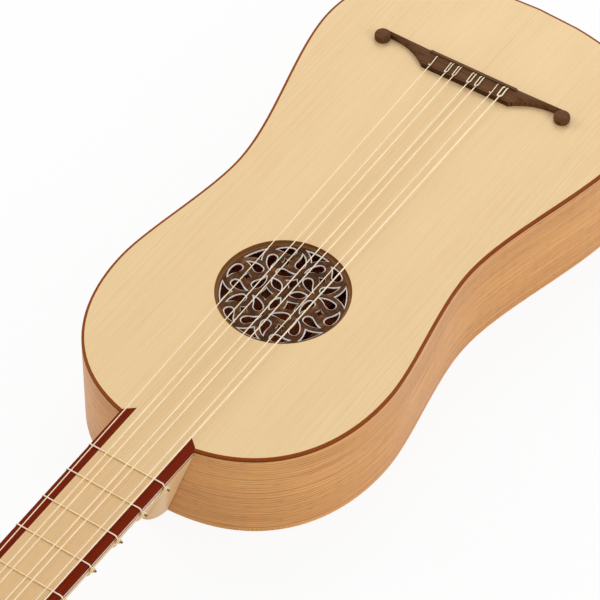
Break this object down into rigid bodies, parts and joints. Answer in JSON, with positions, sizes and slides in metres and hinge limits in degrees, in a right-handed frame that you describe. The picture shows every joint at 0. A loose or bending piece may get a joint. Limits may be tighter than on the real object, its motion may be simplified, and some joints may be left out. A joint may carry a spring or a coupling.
{
  "type": "renaissance guitar",
  "caption": "Small waisted renaissance guitar with pierced rose, tied bridge, gut frets tied round the neck and a curved pegbox with turning pegs.",
  "frame": {"origin": "on the flat outer face of the back, on the centre line, straight below the line where the strings meet the bridge", "axes": "+Z out of the soundboard, away from the back; +Y towards the tail, -Y towards the neck and head; +X towards the bass side"},
  "size_m": [0.2098, 0.7556, 0.0729],
  "materials": {
    "spruce_top": "satin oiled spruce with fine straight grain",
    "dark_trim": "dark red-brown hardwood, polished",
    "rib_wood": "warm brown fruitwood, satin varnish",
    "back_wood": "warm brown fruitwood, satin varnish",
    "inner_wood": "bare softwood",
    "rose_wood": "dark brown pierced wood, matt",
    "parchment": "off-white parchment",
    "neck_wood": "pale maple, satin varnish",
    "fingerboard_wood": "pale maple, satin varnish",
    "bone": "polished bone",
    "bridge_wood": "dark walnut, satin",
    "peg_wood": "dark hardwood, polished",
    "string_nylon": "pale translucent nylon or gut",
    "fret_gut": "amber gut cord"
  },
  "bodies": {
    "guitar": {"soundboard": "spruce_top", "binding_bass": "dark_trim", "binding_treble": "dark_trim", "fingerboard_edge_bass": "dark_trim", "fingerboard_edge_treble": "dark_trim", "back_centre_strip": "dark_trim", "rib_bass": "rib_wood", "rib_treble": "rib_wood", "back_bass_half": "back_wood", "back_treble_half": "back_wood", "tail_block": "inner_wood", "neck_block": "inner_wood", "top_lining_bass": "inner_wood", "top_lining_treble": "inner_wood", "back_lining_bass": "inner_wood", "back_lining_treble": "inner_wood", "waist_bar": "inner_wood", "shoulder_bar": "inner_wood", "lower_bar": "inner_wood", "back_bar_1": "inner_wood", "back_bar_2": "inner_wood", "back_bar_3": "inner_wood", "rose_cleat_bass": "inner_wood", "rose_cleat_treble": "inner_wood", "rose_tracery": "rose_wood", "rose_parchment": "parchment", "neck": "neck_wood", "pegbox": "neck_wood", "fingerboard_panel": "fingerboard_wood", "nut": "bone", "bridge": "bridge_wood", "string_1": "string_nylon", "string_2": "string_nylon", "string_3": "string_nylon", "string_4": "string_nylon", "string_5": "string_nylon", "string_6": "string_nylon", "string_7": "string_nylon"},
    "tuning_peg_7": {"peg_7": "peg_wood", "winding_7": "string_nylon"},
    "tuning_peg_1": {"peg_1": "peg_wood", "winding_1": "string_nylon"},
    "tuning_peg_6": {"peg_6": "peg_wood", "winding_6": "string_nylon"},
    "tuning_peg_2": {"peg_2": "peg_wood", "winding_2": "string_nylon"},
    "tuning_peg_5": {"peg_5": "peg_wood", "winding_5": "string_nylon"},
    "tuning_peg_3": {"peg_3": "peg_wood", "winding_3": "string_nylon"},
    "tuning_peg_4": {"peg_4": "peg_wood", "winding_4": "string_nylon"},
    "tied_fret_1": {"fret_1": "fret_gut"},
    "tied_fret_2": {"fret_2": "fret_gut"},
    "tied_fret_3": {"fret_3": "fret_gut"},
    "tied_fret_4": {"fret_4": "fret_gut"},
    "tied_fret_5": {"fret_5": "fret_gut"},
    "tied_fret_6": {"fret_6": "fret_gut"},
    "tied_fret_7": {"fret_7": "fret_gut"},
    "tied_fret_8": {"fret_8": "fret_gut"}
  },
  "joints": [
    {"name": "turn_peg_7", "type": "hinge", "parent": "guitar", "child": "tuning_peg_7", "pos_m": [0, -0.56597, 0.04285], "axis": [1, 0, 0], "continuous": true},
    {"name": "turn_peg_1", "type": "hinge", "parent": "guitar", "child": "tuning_peg_1", "pos_m": [0, -0.5778, 0.04022], "axis": [1, 0, 0], "continuous": true},
    {"name": "turn_peg_6", "type": "hinge", "parent": "guitar", "child": "tuning_peg_6", "pos_m": [0, -0.58963, 0.03758], "axis": [1, 0, 0], "continuous": true},
    {"name": "turn_peg_2", "type": "hinge", "parent": "guitar", "child": "tuning_peg_2", "pos_m": [0, -0.60147, 0.03495], "axis": [1, 0, 0], "continuous": true},
    {"name": "turn_peg_5", "type": "hinge", "parent": "guitar", "child": "tuning_peg_5", "pos_m": [0, -0.6133, 0.03232], "axis": [1, 0, 0], "continuous": true},
    {"name": "turn_peg_3", "type": "hinge", "parent": "guitar", "child": "tuning_peg_3", "pos_m": [0, -0.62514, 0.02968], "axis": [1, 0, 0], "continuous": true},
    {"name": "turn_peg_4", "type": "hinge", "parent": "guitar", "child": "tuning_peg_4", "pos_m": [0, -0.63697, 0.02705], "axis": [1, 0, 0], "continuous": true},
    {"name": "shift_fret_1", "type": "slide", "parent": "guitar", "child": "tied_fret_1", "axis": [0, 0.9999, 0.015], "range_m": [-0.003, 0.003]},
    {"name": "shift_fret_2", "type": "slide", "parent": "guitar", "child": "tied_fret_2", "axis": [0, 0.9999, 0.015], "range_m": [-0.003, 0.003]},
    {"name": "shift_fret_3", "type": "slide", "parent": "guitar", "child": "tied_fret_3", "axis": [0, 0.9999, 0.015], "range_m": [-0.003, 0.003]},
    {"name": "shift_fret_4", "type": "slide", "parent": "guitar", "child": "tied_fret_4", "axis": [0, 0.9999, 0.015], "range_m": [-0.003, 0.003]},
    {"name": "shift_fret_5", "type": "slide", "parent": "guitar", "child": "tied_fret_5", "axis": [0, 0.9999, 0.015], "range_m": [-0.003, 0.003]},
    {"name": "shift_fret_6", "type": "slide", "parent": "guitar", "child": "tied_fret_6", "axis": [0, 0.9999, 0.015], "range_m": [-0.003, 0.003]},
    {"name": "shift_fret_7", "type": "slide", "parent": "guitar", "child": "tied_fret_7", "axis": [0, 0.9999, 0.015], "range_m": [-0.003, 0]},
    {"name": "shift_fret_8", "type": "slide", "parent": "guitar", "child": "tied_fret_8", "axis": [0, 0.9999, 0.015], "range_m": [-0.003, 0]}
  ]
}
